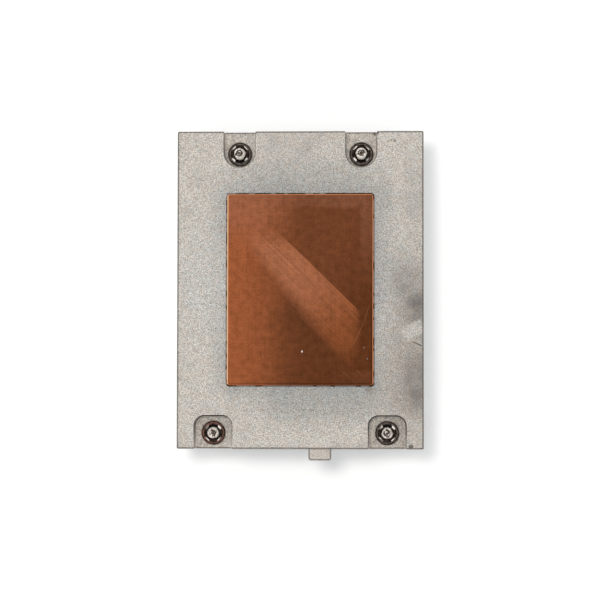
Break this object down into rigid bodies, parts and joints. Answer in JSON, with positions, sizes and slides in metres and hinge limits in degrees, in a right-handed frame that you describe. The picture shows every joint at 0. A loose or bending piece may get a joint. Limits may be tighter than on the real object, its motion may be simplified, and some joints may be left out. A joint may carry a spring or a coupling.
{
  "type": "server processor heat sink",
  "caption": "Flat rectangular processor heat sink: cast base with a copper contact plate, folded fins below and sprung captive screws in corner recesses.",
  "frame": {"origin": "middle of the copper contact face", "axes": "+Z out of the contact face, away from the fins; +Y along the casting's length, towards the closer pair of screws; +X to the right, seen from above the contact face with +Y up"},
  "size_m": [0.095, 0.127, 0.0274],
  "materials": {
    "cast_base": "grit-blasted, nickel plated die casting",
    "copper": "copper, lapped and worn",
    "pipe_copper": "copper tube, satin",
    "fin_sheet": "rolled sheet, satin",
    "screw_steel": "nickel plated steel",
    "spring_steel": "drawn spring wire, satin",
    "washer_steel": "dark plated steel",
    "clip_steel": "dark spring steel"
  },
  "bodies": {
    "base": {"base_casting": "cast_base", "contact_plate": "copper", "heat_pipe_1": "pipe_copper", "heat_pipe_2": "pipe_copper", "heat_pipe_3": "pipe_copper", "heat_pipe_4": "pipe_copper", "fin_left_01": "fin_sheet", "fin_right_01": "fin_sheet", "fin_left_02": "fin_sheet", "fin_right_02": "fin_sheet", "fin_left_03": "fin_sheet", "fin_right_03": "fin_sheet", "fin_left_04": "fin_sheet", "fin_right_04": "fin_sheet", "fin_left_05": "fin_sheet", "fin_right_05": "fin_sheet", "fin_left_06": "fin_sheet", "fin_right_06": "fin_sheet", "fin_left_07": "fin_sheet", "fin_right_07": "fin_sheet", "fin_left_08": "fin_sheet", "fin_right_08": "fin_sheet", "fin_left_09": "fin_sheet", "fin_right_09": "fin_sheet", "fin_left_10": "fin_sheet", "fin_right_10": "fin_sheet", "fin_left_11": "fin_sheet", "fin_right_11": "fin_sheet", "fin_left_12": "fin_sheet", "fin_right_12": "fin_sheet", "fin_left_13": "fin_sheet", "fin_right_13": "fin_sheet", "fin_left_14": "fin_sheet", "fin_right_14": "fin_sheet", "fin_left_15": "fin_sheet", "fin_right_15": "fin_sheet", "fin_left_16": "fin_sheet", "fin_right_16": "fin_sheet", "fin_left_17": "fin_sheet", "fin_right_17": "fin_sheet", "fin_left_18": "fin_sheet", "fin_right_18": "fin_sheet", "washer_upper_left": "washer_steel", "spring_upper_left": "spring_steel", "washer_upper_right": "washer_steel", "spring_upper_right": "spring_steel", "washer_lower_left": "washer_steel", "spring_lower_left": "spring_steel", "washer_lower_right": "washer_steel", "spring_lower_right": "spring_steel"},
    "clip_upper_left": {"clip_upper_left": "clip_steel"},
    "screw_upper_left": {"screw_upper_left": "screw_steel"},
    "clip_upper_right": {"clip_upper_right": "clip_steel"},
    "screw_upper_right": {"screw_upper_right": "screw_steel"},
    "clip_lower_left": {"clip_lower_left": "clip_steel"},
    "screw_lower_left": {"screw_lower_left": "screw_steel"},
    "clip_lower_right": {"clip_lower_right": "clip_steel"},
    "screw_lower_right": {"screw_lower_right": "screw_steel"}
  },
  "joints": [
    {"name": "press_upper_left", "type": "slide", "parent": "base", "child": "clip_upper_left", "axis": [0, 0, 1], "range_m": [0, 0.0035], "stiffness_N_per_m": 4200, "springref_m": -0.002, "deforming": ["spring_upper_left"]},
    {"name": "turn_upper_left", "type": "hinge", "parent": "clip_upper_left", "child": "screw_upper_left", "pos_m": [-0.0235, 0.0526, 0], "axis": [0, 0, 1], "continuous": true},
    {"name": "press_upper_right", "type": "slide", "parent": "base", "child": "clip_upper_right", "axis": [0, 0, 1], "range_m": [0, 0.0035], "stiffness_N_per_m": 4200, "springref_m": -0.002, "deforming": ["spring_upper_right"]},
    {"name": "turn_upper_right", "type": "hinge", "parent": "clip_upper_right", "child": "screw_upper_right", "pos_m": [0.0235, 0.0526, 0], "axis": [0, 0, 1], "continuous": true},
    {"name": "press_lower_left", "type": "slide", "parent": "base", "child": "clip_lower_left", "axis": [0, 0, 1], "range_m": [0, 0.0035], "stiffness_N_per_m": 4200, "springref_m": -0.002, "deforming": ["spring_lower_left"]},
    {"name": "turn_lower_left", "type": "hinge", "parent": "clip_lower_left", "child": "screw_lower_left", "pos_m": [-0.0335, -0.0551, 0], "axis": [0, 0, 1], "continuous": true},
    {"name": "press_lower_right", "type": "slide", "parent": "base", "child": "clip_lower_right", "axis": [0, 0, 1], "range_m": [0, 0.0035], "stiffness_N_per_m": 4200, "springref_m": -0.002, "deforming": ["spring_lower_right"]},
    {"name": "turn_lower_right", "type": "hinge", "parent": "clip_lower_right", "child": "screw_lower_right", "pos_m": [0.0335, -0.0551, 0], "axis": [0, 0, 1], "continuous": true}
  ]
}
